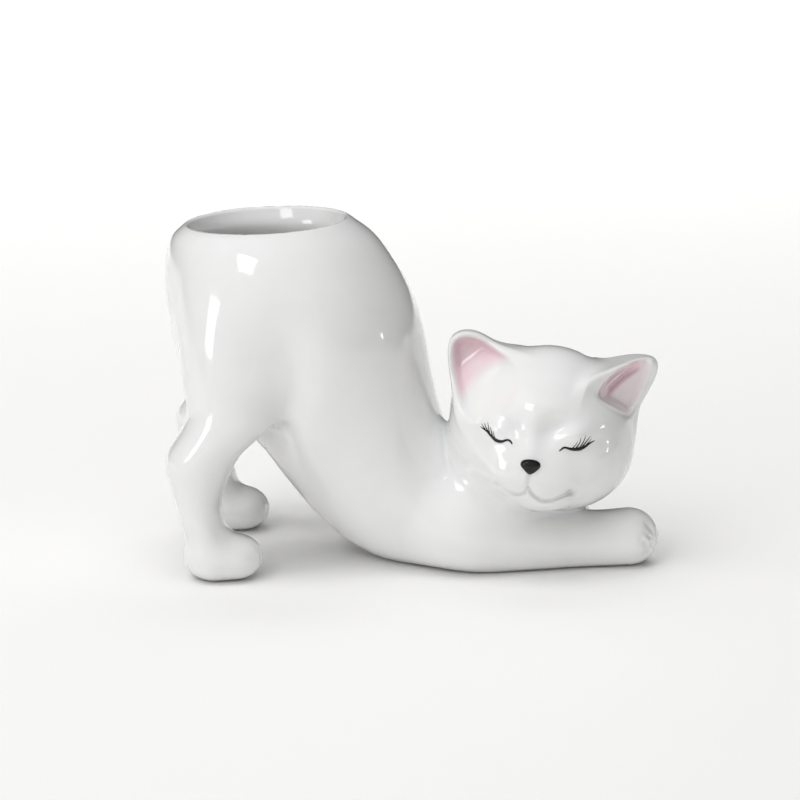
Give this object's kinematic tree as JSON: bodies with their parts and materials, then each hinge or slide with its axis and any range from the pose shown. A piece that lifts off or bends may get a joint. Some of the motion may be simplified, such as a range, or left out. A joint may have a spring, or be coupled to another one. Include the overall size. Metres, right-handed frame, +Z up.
{
  "type": "animal shaped planter",
  "caption": "Glazed ceramic planter shaped as a cat stretching forward with its rump raised, an oval planting mouth in the rump and its head resting on its forelegs.",
  "frame": {"origin": "on the resting plane, under the middle of the bounding box", "axes": "+X from the rump to the forepaws, +Y to the cat's left (the side away from the face), +Z up"},
  "size_m": [0.1449, 0.0728, 0.1019],
  "materials": {
    "white_glaze": "glossy",
    "black_enamel": "glossy"
  },
  "bodies": {
    "root": {"pot_body": "white_glaze", "head": "white_glaze", "ear_left": "white_glaze", "ear_right": "white_glaze", "foreleg_left": "white_glaze", "foreleg_right": "white_glaze", "hind_leg_left": "white_glaze", "hind_leg_right": "white_glaze", "nose": "black_enamel", "lash_line_left": "black_enamel", "lash_line_right": "black_enamel"}
  },
  "joints": []
}
